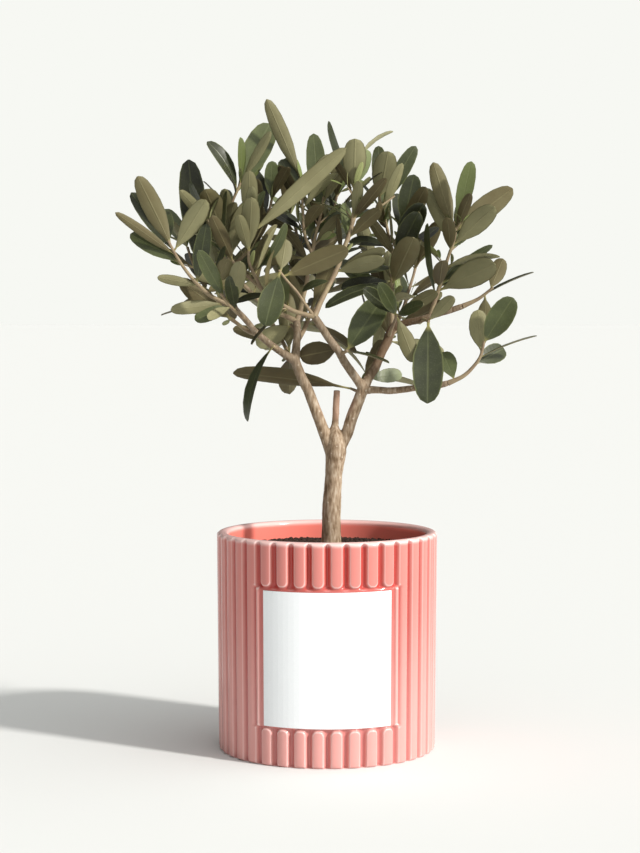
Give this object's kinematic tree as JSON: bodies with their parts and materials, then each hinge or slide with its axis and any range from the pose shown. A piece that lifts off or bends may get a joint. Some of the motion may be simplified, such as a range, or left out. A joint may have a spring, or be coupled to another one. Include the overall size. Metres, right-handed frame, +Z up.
{
  "type": "potted olive tree",
  "caption": "young olive tree with an open crown on a forked trunk, growing in a ribbed glazed cylindrical cachepot with a blank square label",
  "frame": {"origin": "middle of the pot's flat underside", "axes": "X to the right as the label is read, Y from the label towards the back, Z up"},
  "size_m": [0.245, 0.1634, 0.385],
  "materials": {
    "glaze": "glossy pink glaze, deeper in the grooves",
    "label": "smooth matt white",
    "soil": "moist granular potting soil",
    "bark": "smooth grey-brown bark",
    "leaves": "leathery olive green above, pale khaki beneath"
  },
  "bodies": {
    "root": {"back_left_leaves": "leaves", "back_middle_leaves": "leaves", "back_right_leaves": "leaves", "centre_top_leaves": "leaves", "far_left_leaves": "leaves", "front_left_leaves": "leaves", "front_right_leaves": "leaves", "hanging_left_leaves": "leaves", "hanging_right_leaves": "leaves", "high_left_bough": "bark", "inner_bough": "bark", "inner_low_leaves": "leaves", "inner_low_spur_leaf": "leaves", "inner_spur_leaves": "leaves", "inner_top_leaves": "leaves", "label": "label", "left_back_leaves": "leaves", "left_bough": "bark", "left_spur_leaf": "leaves", "long_right_bough": "bark", "low_back_leaves": "leaves", "low_left_bough": "bark", "low_left_spur_leaf": "leaves", "low_right_bough": "bark", "low_right_leaves": "leaves", "mid_left_leaves": "leaves", "outer_bough": "bark", "outer_up_leaves": "leaves", "pot": "glaze", "right_bough": "bark", "right_spur_leaf": "leaves", "right_tip_leaves": "leaves", "right_up_leaves": "leaves", "soil": "soil", "trunk": "bark", "upper_left_leaves": "leaves"}
  },
  "joints": []
}
